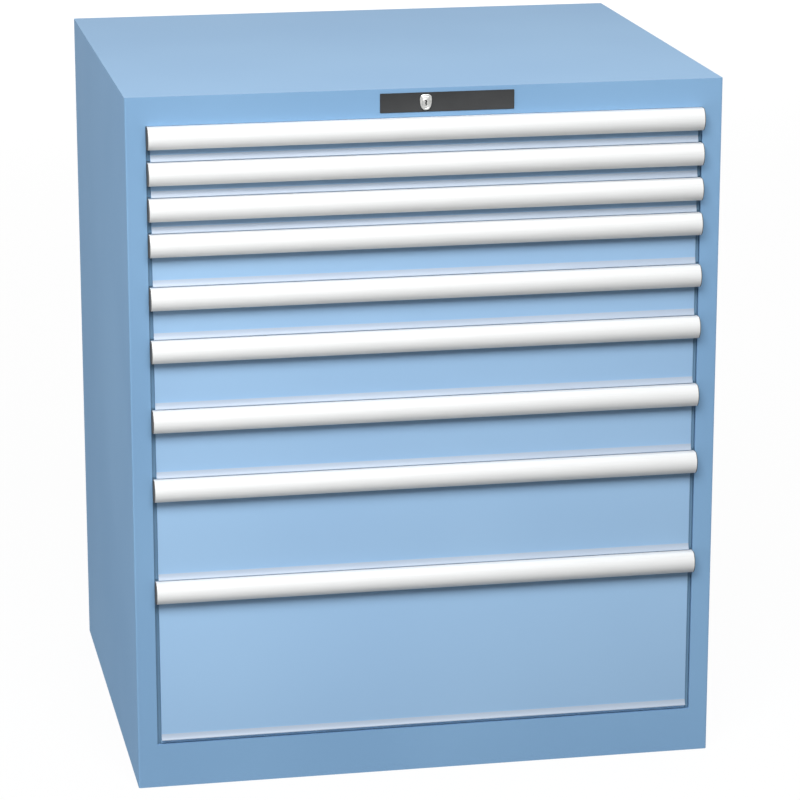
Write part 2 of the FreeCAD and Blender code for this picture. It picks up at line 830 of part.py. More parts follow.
# Lock body: the shield-shaped flange with its bored barrel, and the nut behind the rail
def lockBody():
    body = newBody("shield_body")
    face = "(-strip_sheet - shield_sheet)"
    left = "lock_offset - shield_width / 2"
    right = "lock_offset + shield_width / 2"
    shoulder = lockLevel + " + shield_shoulder"
    footLeft = "lock_offset - shield_foot_width / 2"
    footRight = "lock_offset + shield_foot_width / 2"
    foot = lockLevel + " - shield_foot"
    prism(body, "Y", face, "-strip_sheet", [
        (footLeft, foot, "shield_bulge"),
        (footRight, foot, "shield_height / 2 - shield_foot"),
        (right, shoulder, "shield_bulge"),
        (left, shoulder, "shield_height / 2 - shield_shoulder")], "shield_plate")
    barrel = frontPrism("lock_barrel", barrelSides, "barrel / 2",
                        face + " + shield_sheet / 2", "barrel_reach")
    bore = frontCylinder("lock_bore", "rotor / 2 + turn_gap",
                         "%s - %s" % (face, past), "barrel_reach + " + past)
    casting = cutFrom(joined([body, barrel], "lock_casting"), bore, "lock_bored")
    nut = frontPrism("lock_nut_prism", nutSides, "nut / 2", "wall", "3 * wall")
    threaded = frontPrism("lock_nut_hole", barrelSides, "barrel / 2", "0", "barrel_reach")
    placed(group([casting, cutFrom(nut, threaded, "lock_nut")], "lock_body_set"), "lock_body")


# Lock cylinder: the rotor with its keyhole, and behind the barrel a cam with an offset pin.
# The pin starts an eighth of a turn left of upright and ends an eighth right of it.
pinRadius = "(lock_throw / 2 / sin(45))"


def pinAt(name, across, up, near, far):
    pin = document.addObject("Part::Prism", name)
    pin.Polygon = pinSides
    pin.setExpression("Circumradius", bound("cam_pin / 2"))
    pin.setExpression("Height", bound("(%s) - (%s)" % (far, near)))
    pin.Placement = FreeCAD.Placement(vector(0, 0, 0), FreeCAD.Rotation(vector(1, 0, 0), -90))
    pin.setExpression("Placement.Base.x", bound(across))
    pin.setExpression("Placement.Base.y", bound(near))
    pin.setExpression("Placement.Base.z", bound(up))
    return pin


def lockCylinder():
    face = "(-strip_sheet - shield_sheet - turn_gap)"
    rotor = frontCylinder("rotor_round", "rotor / 2", face, "barrel_reach")
    key = document.addObject("Part::Box", "keyhole")
    key.setExpression("Length", bound("key_width"))
    key.setExpression("Width", bound("key_depth"))
    key.setExpression("Height", bound("key_height"))
    key.setExpression("Placement.Base.x", bound("lock_offset - key_width / 2"))
    key.setExpression("Placement.Base.y", bound("%s - %s" % (face, past)))
    key.setExpression("Placement.Base.z", bound(lockLevel + " - key_height / 2"))
    cam = frontPrism("cam_disc", camSides, "%s + cam_pin / 2 + cam_edge" % pinRadius,
                     "barrel_reach", "barrel_reach + cam_sheet")
    pin = pinAt("cam_pin_prism", "lock_offset - lock_throw / 2", lockLevel + " + lock_throw / 2",
                "barrel_reach + cam_sheet / 2", "link_start + link_sheet + pin_end")
    placed(group([cutFrom(rotor, key, "rotor_cut"), joined([cam, pin], "cam_with_pin")],
                 "lock_cylinder_set"), "lock_cylinder")


# Lock link: a flat bar that the cam pushes sideways, with a sloping slot that lifts the locking bar
barPinAcross = "(%s - bar_width + bar_pin_inset)" % barOuter
linkFoot = "(height - top_rail + wall + roller_gap)"
barPinLevel = "(%s + bar_pin_rise)" % linkFoot


def lockLink():
    body = newBody("lock_link_body")
    camSlot = "(lock_offset - lock_throw / 2)"
    slotHalf = "(cam_pin / 2 + hook_gap)"
    slotLow = "(%s + lock_throw / 2 - cam_pin / 2 - 2 * hook_gap)" % lockLevel
    slotTop = "(%s + %s + cam_pin / 2 + 2 * hook_gap)" % (lockLevel, pinRadius)
    slant = "(%s * sqrt(2))" % slotHalf
    end = "(%s + %s + link_edge)" % (barPinAcross, slotHalf)
    endTop = "(%s + lock_throw + %s + link_edge)" % (barPinLevel, slant)
    waist = linkFoot + " + link_height"
    tabTop = slotTop + " + link_edge"
    prism(body, "Y", "link_start", "link_start + link_sheet", [
        (camSlot + " - link_tab / 2", linkFoot),
        (end, linkFoot),
        (end, barPinLevel + " + link_tab / 2"),
        (end + " - lock_throw / 2", endTop),
        (end + " - lock_throw - link_tab / 2", endTop),
        (end + " - 2 * lock_throw - link_tab / 2", waist),
        (camSlot + " + lock_throw + link_tab / 2", waist),
        (camSlot + " + link_tab / 2", tabTop),
        (camSlot + " - link_tab / 2", tabTop)], "link_plate")
    near = "link_start - " + past
    far = "link_start + link_sheet + " + past
    prism(body, "Y", near, far, rectangle(
        "%s - %s" % (camSlot, slotHalf), "%s + %s" % (camSlot, slotHalf), slotLow, slotTop),
        "link_cam_slot", cut=True)
    prism(body, "Y", near, far, [
        (barPinAcross, "%s - %s" % (barPinLevel, slant)),
        ("%s + %s" % (barPinAcross, slant), barPinLevel),
        ("%s - lock_throw" % barPinAcross, "%s + lock_throw + %s" % (barPinLevel, slant)),
        ("%s - lock_throw - %s" % (barPinAcross, slant), barPinLevel + " + lock_throw")],
        "link_slant_slot", cut=True)
    placed(body, "lock_link")


# Locking bar: a flat bar behind the right stile, with a pin at the top and a hook for each drawer
def lockingBar():
    body = newBody("locking_bar_flat")
    low = "(%s + hook_gap)" % bottomRail
    prism(body, "Z", low, barPinLevel + " + cam_pin + link_edge", rectangle(
        barOuter + " - bar_width", barOuter, barStart, barStart + " + bar_sheet"), "bar_flat")
    pin = pinAt("bar_pin", barPinAcross, barPinLevel, "link_start - pin_end", barStart + " + bar_sheet / 2")
    placed(joined([body, pin], "bar_with_pin"), "locking_bar")

    hook = newBody("locking_hook")
    top = "(catch_foot - hook_gap)"
    inner = "(%s + hook_gap)" % carriageOuter
    root = "(%s - bar_width)" % barOuter
    prism(hook, "Y", barStart, barStart + " + bar_sheet", [
        (root, top + " - catch_height - hook_reach / 2"),
        (root, top),
        (inner, top),
        (inner, top + " - catch_height * 2 / 3")], "hook_plate")
    hooks = [lifted(hook, "hook_%d" % drawer, level(drawer)) for drawer in range(1, drawerCount + 1)]
    placed(group(hooks, "hook_set"), "locking_hooks")


sidePanel()
topCover()
bottomFrontRail()
basePan()
backPanel()
cornerGussets()
uprights()
cabinetRails()
for drawerNumber in range(1, drawerCount + 1):
    drawerBox(drawerNumber)
    drawerFront(drawerNumber)
drawerRails()
handles()
carriages()
lockStrip()
lockBody()
lockCylinder()
lockLink()
lockingBar()
document.recompute()

# Every object is checked before a file is written
for item in document.Objects:
    if "Invalid" in item.State or "Error" in item.State:
        raise ValueError(item.Name + " failed: " + str(item.State))
for item in subParts:
    if item.Shape.isNull() or not item.Shape.isValid():
        raise ValueError(item.Label + " has no valid shape")

os.makedirs("parts", exist_ok=True)
for item in subParts:
    item.Shape.exportStep("parts/%s.step" % item.Label)
    box = item.Shape.BoundBox
    print("%-22s solids %3d  X %8.1f %8.1f  Y %8.1f %8.1f  Z %8.1f %8.1f" % (
        item.Label, len(item.Shape.Solids), box.XMin, box.XMax, box.YMin, box.YMax, box.ZMin, box.ZMax))
print("sub-parts", len(subParts))
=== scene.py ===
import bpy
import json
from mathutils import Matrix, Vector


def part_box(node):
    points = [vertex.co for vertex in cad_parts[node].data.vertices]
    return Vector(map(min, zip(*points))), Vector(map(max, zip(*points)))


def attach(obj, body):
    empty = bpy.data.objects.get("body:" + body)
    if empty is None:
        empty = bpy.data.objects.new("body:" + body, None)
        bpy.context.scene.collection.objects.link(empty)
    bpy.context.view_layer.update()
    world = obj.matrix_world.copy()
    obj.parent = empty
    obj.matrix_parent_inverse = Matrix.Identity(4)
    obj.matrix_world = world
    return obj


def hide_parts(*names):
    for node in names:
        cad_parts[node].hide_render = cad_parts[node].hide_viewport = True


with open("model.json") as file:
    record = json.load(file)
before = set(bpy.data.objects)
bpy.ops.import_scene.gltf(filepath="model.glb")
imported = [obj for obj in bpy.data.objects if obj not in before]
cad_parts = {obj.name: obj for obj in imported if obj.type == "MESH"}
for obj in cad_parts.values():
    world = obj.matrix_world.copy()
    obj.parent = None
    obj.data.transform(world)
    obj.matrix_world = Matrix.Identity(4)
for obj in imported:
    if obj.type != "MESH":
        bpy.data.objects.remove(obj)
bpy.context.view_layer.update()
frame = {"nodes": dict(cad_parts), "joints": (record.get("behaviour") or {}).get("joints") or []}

import json
import math

import bmesh
import bpy
from mathutils import Matrix, Vector

nodes = frame["nodes"]
drawers = range(1, 10)
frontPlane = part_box("side_panel_right")[0].y      # the painted face of the housing
hair = 1e-5                                       # places this close count as one
weldGap = 1e-6                                    # points this close are merged
print("frame loaded:", len(nodes), "nodes")


# Tools for the making of pieces

def deselectAll():
    if bpy.context.mode != "OBJECT":
        bpy.ops.object.mode_set(mode="OBJECT")
    bpy.ops.object.select_all(action="DESELECT")


def makeActive(piece):
    deselectAll()
    piece.select_set(True)
    bpy.context.view_layer.objects.active = piece


def startPiece(name, kind, location, scale=(1, 1, 1), rotation=(0, 0, 0), **options):
    # A primitive at its size and place, with the object itself left at the origin
    deselectAll()
    addPrimitive = getattr(bpy.ops.mesh, "primitive_%s_add" % kind)
    addPrimitive(location=location, rotation=rotation, **options)
    piece = bpy.context.object
    piece.name = name
    piece.data.name = name
    piece.scale = scale
    bpy.ops.object.transform_apply(location=True, rotation=True, scale=True)
    return piece


def edit(piece):
    makeActive(piece)
    bpy.ops.object.mode_set(mode="EDIT")
    bpy.ops.mesh.select_all(action="DESELECT")


def leaveEdit():
    bpy.ops.object.mode_set(mode="OBJECT")


def pick(piece, part, test):
    # Selects the faces, edges or points that pass the test, which gets a middle and a direction
    bpy.ops.mesh.select_mode(type={"faces": "FACE", "edges": "EDGE", "verts": "VERT"}[part])
    bpy.ops.mesh.select_all(action="DESELECT")
    mesh = bmesh.from_edit_mesh(piece.data)
    for item in getattr(mesh, part):
        if part == "faces":
            found = test(item.calc_center_median(), item.normal)
        elif part == "edges":
            ends = [corner.co for corner in item.verts]
            found = test((ends[0] + ends[1]) / 2, (ends[1] - ends[0]).normalized())
        else:
            found = test(item.co, item.normal)
        item.select_set(bool(found))
    mesh.select_flush_mode()
    bmesh.update_edit_mesh(piece.data)


def near(value, goal):
    return abs(value - goal) < hair


def towardsFront(middle, way):
    return way.y < -0.9


def alongX(way):
    return abs(way.x) > 0.9


def drag(x=0.0, y=0.0, z=0.0):
    # Extrudes what is selected by that much
    bpy.ops.mesh.extrude_region_move(TRANSFORM_OT_translate={"value": (x, y, z)})


def modify(piece, kind, **settings):
    # A modifier that is applied at once
    makeActive(piece)
    modifier = piece.modifiers.new(kind.title(), kind)
    for name, value in settings.items():
        setattr(modifier, name, value)
    bpy.ops.object.modifier_apply(modifier=modifier.name)


def easeEdges(piece, width, segments, degrees):
    # A small applied bevel on every edge sharper than that angle
    modify(piece, "BEVEL", width=width, segments=segments, limit_method="ANGLE",
           angle_limit=math.radians(degrees))


def carve(piece, cutter):
    modify(piece, "BOOLEAN", object=cutter, operation="DIFFERENCE", solver="EXACT")
    bpy.data.objects.remove(cutter)


def smooth(piece, degrees=32):
    makeActive(piece)
    bpy.ops.object.shade_smooth_by_angle(angle=math.radians(degrees))


def copied(piece, name, move):
    # A copy with its own mesh, moved inside the mesh
    twin = piece.copy()
    twin.data = piece.data.copy()
    twin.name = name
    twin.data.name = name
    twin.data.transform(Matrix.Translation(Vector(move)))
    bpy.context.scene.collection.objects.link(twin)
    return twin


def dress(piece, material):
    piece.data.materials.clear()
    piece.data.materials.append(material)


def toLinear(hexText):
    # The shaders take linear light, and the colours here are written as sRGB
    channels = []
    for start in (0, 2, 4):
        share = int(hexText[start:start + 2], 16) / 255
        channels.append(share / 12.92 if share <= 0.04045 else ((share + 0.055) / 1.055) ** 2.4)
    return (*channels, 1.0)


toneSpan = (0.35, 0.65)      # the share of a pattern's range over which two tones change


def addNode(tree, kind, settings=None, tones=(), **inputs):
    # A node with its settings. An input that is a socket is linked, and any other is a value. The
    # tones are the colours at a ramp's two stops.
    node = tree.nodes.new("ShaderNode" + kind)
    for name, value in (settings or {}).items():
        setattr(node, name, value)
    for stop, tone in enumerate(tones):
        node.color_ramp.elements[stop].position = toneSpan[stop]
        node.color_ramp.elements[stop].color = toLinear(tone)
    for name, value in inputs.items():
        key = int(name[1:]) if name[1:].isdigit() else name.replace("_", " ")
        socket = node.inputs[key]
        if isinstance(value, bpy.types.NodeSocket):
            tree.links.new(value, socket)
        else:
            socket.default_value = value
    return node


def newMaterial(name):
    material = bpy.data.materials.new(name)
    material.use_nodes = True
    tree = material.node_tree
    tree.nodes.clear()
    place = addNode(tree, "TexCoord").outputs["Object"]
    return material, tree, place


def finishMaterial(tree, **inputs):
    shader = addNode(tree, "BsdfPrincipled", **inputs)
    addNode(tree, "OutputMaterial", Surface=shader.outputs["BSDF"])


def perMetre(millimetres):
    # Scale of a noise or Voronoi pattern whose marks are that far apart
    return 1000 / millimetres


def grey(value):
    return (value, value, value, 1.0)


# Fine-textured polyester powder coat, oven-cured on sheet steel: a dull satin with a faint ripple
# that breaks up reflections, and hardly any change of tone. Its real specks, of some 0.2 mm, are too
# fine to show and are drawn coarser.
coat = {"tones": ("97BADC", "9BBEDF"), "rippleMm": 3.5, "speckMm": 0.9, "driftMm": 420,
        "roughness": (0.66, 0.74), "ripple": 0.035, "rippleRise": 0.0006, "speck": 0.03,
        "speckRise": 0.0002, "level": 0.12}


def powderCoat(name, values):
    material, tree, place = newMaterial(name)
    drift = addNode(tree, "TexNoise", Vector=place, Scale=perMetre(values["driftMm"]), Detail=2.0)
    ripple = addNode(tree, "TexNoise", Vector=place, Scale=perMetre(values["rippleMm"]), Detail=2.0)
    speck = addNode(tree, "TexNoise", Vector=place, Scale=perMetre(values["speckMm"]), Detail=1.0)
    colour = addNode(tree, "ValToRGB", tones=values["tones"], Fac=drift.outputs["Fac"])
    rough = addNode(tree, "MapRange", Value=ripple.outputs["Fac"], To_Min=values["roughness"][0],
                    To_Max=values["roughness"][1])
    waves = addNode(tree, "Bump", Strength=values["ripple"], Distance=values["rippleRise"],
                    Height=ripple.outputs["Fac"])
    grain = addNode(tree, "Bump", Strength=values["speck"], Distance=values["speckRise"],
                    Height=speck.outputs["Fac"], Normal=waves.outputs["Normal"])
    finishMaterial(tree, Base_Color=colour.outputs["Color"], Roughness=rough.outputs["Result"],
                   IOR=1.5, Specular_IOR_Level=values["level"], Normal=grain.outputs["Normal"])
    return material


coatBlue = powderCoat("polyester_powder_coat_blue", coat)
# The housing's coat is a touch deeper than the fronts': painted shade, the same blue darkened to
# stand in for the darker light on the housing
housingBluePaintedShade = powderCoat("polyester_powder_coat_blue_housing",
                       dict(coat, tones=("7EA5CA", "84ABCF")))
coatGrey = powderCoat("polyester_powder_coat_light_grey", dict(coat, tones=("C9CDCF", "CFD3D5")))


# Aluminium, extruded and lacquered white: a smooth even satin, with lines along the bar that are
# drawn coarser than the real ones, so that they just show
lacquer = {"tones": ("E7E8E8", "ECEDED"), "lineMm": 0.8, "stretch": 60, "grainMm": 0.7,
           "roughness": (0.44, 0.52), "grain": 0.03, "grainRise": 0.0002, "level": 0.2}


def makeLacquer():
    material, tree, place = newMaterial("white_lacquered_extruded_aluminium")
    along = addNode(tree, "Mapping", Vector=place, Scale=(1 / lacquer["stretch"], 1, 1))
    lines = addNode(tree, "TexNoise", Vector=along.outputs["Vector"],
                    Scale=perMetre(lacquer["lineMm"]), Detail=3.0)
    grain = addNode(tree, "TexNoise", Vector=place, Scale=perMetre(lacquer["grainMm"]), Detail=1.0)
    colour = addNode(tree, "ValToRGB", tones=lacquer["tones"], Fac=lines.outputs["Fac"])
    rough = addNode(tree, "MapRange", Value=lines.outputs["Fac"], To_Min=lacquer["roughness"][0],
                    To_Max=lacquer["roughness"][1])
    fine = addNode(tree, "Bump", Strength=lacquer["grain"], Distance=lacquer["grainRise"],
                   Height=grain.outputs["Fac"])
    finishMaterial(tree, Base_Color=colour.outputs["Color"], Roughness=rough.outputs["Result"],
                   IOR=1.5, Specular_IOR_Level=lacquer["level"], Normal=fine.outputs["Normal"])
    return material


gripLacquer = makeLacquer()


# Painted highlight on the outward kick at the lower edge of each front: a pale grey-blue ground that
# stands in for the light the bend catches, under a smooth clear skin, so that it also catches a broad
# pale reflection
kickHighlight = {"tones": ("A8B6C8", "AEBCCD"), "driftMm": 260, "waveMm": 9,
            "roughness": (0.50, 0.60), "skin": 0.25, "skinRoughness": 0.3, "wave": 0.03,
            "waveRise": 0.0004}


def makeKickHighlight():
    material, tree, place = newMaterial("clear_pvc_edge_strip")
    drift = addNode(tree, "TexNoise", Vector=place, Scale=perMetre(kickHighlight["driftMm"]), Detail=2.0)
    wave = addNode(tree, "TexNoise", Vector=place, Scale=perMetre(kickHighlight["waveMm"]), Detail=1.0)
    colour = addNode(tree, "ValToRGB", tones=kickHighlight["tones"], Fac=drift.outputs["Fac"])
    rough = addNode(tree, "MapRange", Value=wave.outputs["Fac"], To_Min=kickHighlight["roughness"][0],
                    To_Max=kickHighlight["roughness"][1])
    waves = addNode(tree, "Bump", Strength=kickHighlight["wave"], Distance=kickHighlight["waveRise"],
                    Height=wave.outputs["Fac"])
    finishMaterial(tree, Base_Color=colour.outputs["Color"], Roughness=rough.outputs["Result"],
                   IOR=1.5, Coat_IOR=1.5, Coat_Weight=kickHighlight["skin"],
                   Coat_Roughness=kickHighlight["skinRoughness"], Normal=waves.outputs["Normal"])
    return material


kickHighlightStrip = makeKickHighlight()


# Moulded plastics and rubber with a fine grain: dull, with a soft broad highlight. The real grain, of
# some 0.1 mm, is too fine to show and is drawn coarser.
moulding = {"cloudMm": 40, "grain": 0.12, "grainRise": 0.0001}


def mouldedPlastic(name, tones, roughness, grainMm, level):
    material, tree, place = newMaterial(name)
    grain = addNode(tree, "TexNoise", Vector=place, Scale=perMetre(grainMm), Detail=2.0)
    cloud = addNode(tree, "TexNoise", Vector=place, Scale=perMetre(moulding["cloudMm"]),
                    Detail=2.0)
    colour = addNode(tree, "ValToRGB", tones=tones, Fac=cloud.outputs["Fac"])
    rough = addNode(tree, "MapRange", Value=grain.outputs["Fac"], To_Min=roughness[0],
                    To_Max=roughness[1])
    bumps = addNode(tree, "Bump", Strength=moulding["grain"], Distance=moulding["grainRise"],
                    Height=grain.outputs["Fac"])
    finishMaterial(tree, Base_Color=colour.outputs["Color"], Roughness=rough.outputs["Result"],
                   IOR=1.46, Specular_IOR_Level=level, Normal=bumps.outputs["Normal"])
    return material


capPlastic = mouldedPlastic("moulded_polyamide_brown_grey", ("4C4A46", "524F4B"),
                            roughness=(0.50, 0.62), grainMm=0.8, level=0.5)
stripPlastic = mouldedPlastic("moulded_abs_dark_grey", ("363738", "3A3B3C"),
                              roughness=(0.60, 0.70), grainMm=0.9, level=0.25)
# Blue-grey painted shade: the tone of the shadowed gaps beside the fronts
gapShadeRubber = mouldedPlastic("extruded_epdm_blue_grey", ("6788A2", "6C8DA7"),
                            roughness=(0.62, 0.72), grainMm=1.1, level=0.25)
# Pale blue painted light, lifting the shadowed gap under the last front
footGapPaleRubber = mouldedPlastic("extruded_epdm_pale_blue", ("AFD5F1", "B3D9F5"),
                            roughness=(0.62, 0.72), grainMm=1.1, level=0.25)


# Steel, bright zinc-plated: a cool grey metal, clouded in patches where the bath dried
zinc = {"tones": ("A3A8AC", "BCC0C4"), "cloudMm": 22, "fleckMm": 2.2,
        "roughness": (0.30, 0.48), "fleck": 0.05, "fleckRise": 0.0002}


def makeZinc():
    material, tree, place = newMaterial("zinc_plated_steel")
    cloud = addNode(tree, "TexNoise", Vector=place, Scale=perMetre(zinc["cloudMm"]), Detail=4.0)
    fleck = addNode(tree, "TexVoronoi", Vector=place, Scale=perMetre(zinc["fleckMm"]))
    colour = addNode(tree, "ValToRGB", tones=zinc["tones"], Fac=cloud.outputs["Fac"])
    rough = addNode(tree, "MapRange", Value=cloud.outputs["Fac"], To_Min=zinc["roughness"][0],
                    To_Max=zinc["roughness"][1])
    bumps = addNode(tree, "Bump", Strength=zinc["fleck"], Distance=zinc["fleckRise"],
                    Height=fleck.outputs["Distance"])
    finishMaterial(tree, Base_Color=colour.outputs["Color"], Metallic=1.0,
                   Roughness=rough.outputs["Result"], Normal=bumps.outputs["Normal"])
    return material


zincSteel = makeZinc()


# Zinc die casting, barrel-polished and nickel-plated: warm bright metal, soft at the edges
nickel = {"tones": ("C6C7C5", "D3D3D1"), "hazeMm": 6, "roughness": (0.24, 0.34),
          "dent": 0.04, "dentRise": 0.0002}


def makeNickel():
    material, tree, place = newMaterial("nickel_plated_zinc_casting")
    haze = addNode(tree, "TexNoise", Vector=place, Scale=perMetre(nickel["hazeMm"]), Detail=3.0)
    colour = addNode(tree, "ValToRGB", tones=nickel["tones"], Fac=haze.outputs["Fac"])
    rough = addNode(tree, "MapRange", Value=haze.outputs["Fac"], To_Min=nickel["roughness"][0],
                    To_Max=nickel["roughness"][1])
    dents = addNode(tree, "Bump", Strength=nickel["dent"], Distance=nickel["dentRise"],
                    Height=haze.outputs["Fac"])
    finishMaterial(tree, Base_Color=colour.outputs["Color"], Metallic=1.0,
                   Roughness=rough.outputs["Result"], Normal=dents.outputs["Normal"])
    return material


nickelCasting = makeNickel()


# Key channel: painted shade, a near-black on the channel's walls so that the slot reads black
keyChannelShade = mouldedPlastic("greased_dark_brass", ("141210", "1C1915"), roughness=(0.45, 0.60),
                        grainMm=1.5, level=0.3)
print("materials made")


# Housing and inner works keep their CAD shapes. Welded and with weighted normals, the flat sheets
# stay flat and only the bends shade round.
enamelNodes = ["side_panel_right", "side_panel_left", "top_cover", "bottom_rail", "base_pan",
               "back_panel", "base_gussets"]
zincNodes = ["uprights", "cabinet_rails", "locking_bar", "locking_hooks", "lock_link"]
zincNodes += ["drawer_%d_runners" % k for k in drawers] + ["carriage_%d" % k for k in drawers]


def softenBends(node, degrees=32):
    for polygon in node.data.polygons:
        polygon.use_smooth = True
    weld = node.modifiers.new("Weld", "WELD")
    weld.merge_threshold = hair
    split = node.modifiers.new("Split", "EDGE_SPLIT")
    split.split_angle = math.radians(degrees)
    weights = node.modifiers.new("Weights", "WEIGHTED_NORMAL")
    weights.keep_sharp = True


for name in enamelNodes:
    dress(nodes[name], housingBluePaintedShade)
    softenBends(nodes[name])
# The top cover's upward faces take the fronts' lighter coat, a painted highlight on the top, while
# its front rail keeps the housing's deeper painted shade
nodes["top_cover"].data.materials.append(coatBlue)
for polygon in nodes["top_cover"].data.polygons:
    if polygon.normal.z > 0.5:
        polygon.material_index = 1
for name in zincNodes:
    dress(nodes[name], zincSteel)
    # The rollers have ten sides, and their treads are to shade round
    softenBends(nodes[name], 40 if name.startswith("carriage") else 32)
for k in drawers:
    dress(nodes["drawer_%d_box" % k], coatGrey)
    softenBends(nodes["drawer_%d_box" % k])
print("housing and inner works dressed")


# Grip: an extruded bar, hooked over the fingers, modelled once at the top drawer
grip = {"wall": 0.002, "edgeOut": 0.0105, "reach": 0.019, "height": 0.031, "flange": 0.024,
        "lip": 0.0018, "recess": 0.001, "capSheet": 0.001, "arcSteps": 22, "corner": 0.0010,
        "chin": 0.0015, "edge": 0.00025}
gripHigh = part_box("drawer_1_handle")[1]
gripTop = gripHigh.z
gripBack = frontPlane + grip["recess"]
gripEdge = frontPlane - grip["edgeOut"]
gripHalf = gripHigh.x - grip["capSheet"]
gripBulge = grip["reach"] - grip["edgeOut"]
gripRadius = (grip["height"] ** 2 / 4 + gripBulge ** 2) / (2 * gripBulge)
gripCentre = (0, gripEdge + gripRadius - gripBulge, gripTop - grip["height"] / 2)
gripTurn = 2 * math.asin(grip["height"] / 2 / gripRadius)


def spinFront(piece, part, test):
    # Sweeps the picked edge or point down round the bar's convex front
    pick(piece, part, test)
    bpy.ops.mesh.spin(steps=grip["arcSteps"], angle=-gripTurn, center=gripCentre, axis=(1, 0, 0))


def makeGrip():
    foot = gripTop - grip["height"]
    bar = startPiece("drawer_1_grip", "plane", (0, (gripBack + gripEdge) / 2, gripTop),
                     (2 * gripHalf, gripBack - gripEdge, 1), size=1)
    edit(bar)
    spinFront(bar, "edges", lambda middle, way: alongX(way) and near(middle.y, gripEdge))
    pick(bar, "edges", lambda middle, way: alongX(way) and middle.z < foot + hair)
    drag(y=grip["lip"])
    pick(bar, "edges", lambda middle, way: alongX(way) and near(middle.y, gripEdge)
         and near(middle.z, foot))
    bpy.ops.mesh.bevel(offset=grip["chin"], segments=4, affect="EDGES")
    pick(bar, "edges", lambda middle, way: alongX(way) and near(middle.y, gripBack)
         and near(middle.z, gripTop))
    drag(z=-grip["flange"])
    pick(bar, "edges", lambda middle, way: alongX(way) and near(middle.z, gripTop))
    bpy.ops.mesh.bevel(offset=grip["corner"], segments=4, affect="EDGES")
    leaveEdit()
    edit(bar)
    bpy.ops.mesh.select_all(action="SELECT")
    bpy.ops.mesh.remove_doubles(threshold=weldGap)
    bpy.ops.mesh.normals_make_consistent(inside=False)
    mesh = bmesh.from_edit_mesh(bar.data)
    top = [face for face in mesh.faces if near(face.calc_center_median().z, gripTop)]
    if top[0].normal.z < 0:
        bpy.ops.mesh.flip_normals()
    leaveEdit()
    modify(bar, "SOLIDIFY", thickness=grip["wall"], offset=-1, use_even_offset=True)
    easeEdges(bar, grip["edge"], 2, 50)
    smooth(bar)
    dress(bar, gripLacquer)
    return bar


# End caps: thin moulded plates with a raised rim, pressed into the ends of the bar
cap = {"rim": 0.0012, "sink": 0.0003, "edge": 0.0002}


def makeCap(side):
    inner = side * gripHalf
    middle = (inner, (gripBack + gripEdge) / 2, gripTop - grip["height"] / 2)
    plate = startPiece("cap", "plane", middle, (grip["height"], gripBack - gripEdge, 1),
                       (0, math.radians(90), 0), size=1)
    edit(plate)
    pick(plate, "faces", lambda middle, way: True)
    bpy.ops.mesh.delete(type="ONLY_FACE")
    pick(plate, "edges", lambda middle, way: near(middle.y, gripEdge))
    bpy.ops.mesh.delete(type="EDGE")
    leaveEdit()
    edit(plate)
    spinFront(plate, "verts", lambda middle, way: near(middle.y, gripEdge)
              and near(middle.z, gripTop))
    bpy.ops.mesh.select_all(action="SELECT")
    bpy.ops.mesh.remove_doubles(threshold=weldGap)
    bpy.ops.mesh.edge_face_add()
    bpy.ops.mesh.select_all(action="SELECT")
    drag(x=side * grip["capSheet"])
    bpy.ops.mesh.select_all(action="SELECT")
    bpy.ops.mesh.normals_make_consistent(inside=False)
    outer = side * (gripHalf + grip["capSheet"])
    pick(plate, "faces", lambda middle, way: alongX(way) and near(middle.x, outer))
    bpy.ops.mesh.inset(thickness=cap["rim"])
    drag(x=-side * cap["sink"])
    leaveEdit()
    easeEdges(plate, cap["edge"], 2, 50)
    smooth(plate)
    dress(plate, capPlastic)
    return plate


firstGrip = makeGrip()
leftCap = makeCap(-1)
rightCap = makeCap(1)
makeActive(leftCap)
rightCap.select_set(True)
bpy.ops.object.join()
firstCaps = bpy.context.object
firstCaps.name = "drawer_1_grip_caps"
for k in drawers:
    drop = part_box("drawer_%d_handle" % k)[1].z - gripTop
    bar = firstGrip if k == 1 else copied(firstGrip, "drawer_%d_grip" % k, (0, 0, drop))
    caps = firstCaps if k == 1 else copied(firstCaps, "drawer_%d_grip_caps" % k, (0, 0, drop))
    for piece in (bar, caps):
        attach(piece, "drawer_%d" % k)
        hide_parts("drawer_%d_handle" % k)
print("grips made")


# Drawer fronts: shallow trays of coated sheet with soft bends, whose lower edge kicks outwards under
# a pale strip of painted highlight. Each kick step is a share of the kick's fall and of its reach.
panel = {"sheet": 0.0012, "sideGap": 0.006, "endGap": 0.0007, "kickHeight": 0.010,
         "kickReach": 0.003, "kickFlat": 0.0009, "bend": 0.0008, "kickBend": 0.0015,
         "kickEdge": 0.0003, "lift": 0.0058, "lipDepth": 0.004, "slack": 0.0001,
         "kickSteps": ((0.45, 0.22), (0.35, 0.36), (0.20, 0.42))}


def panelBox(k):
    # The sheet itself, without the seals beside it
    low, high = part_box("drawer_%d_front" % k)
    inset = panel["sideGap"] - panel["endGap"]
    foot = panel["lift"] if k == 9 else 0
    return low + Vector((inset, 0, foot)), high - Vector((inset, 0, 0))


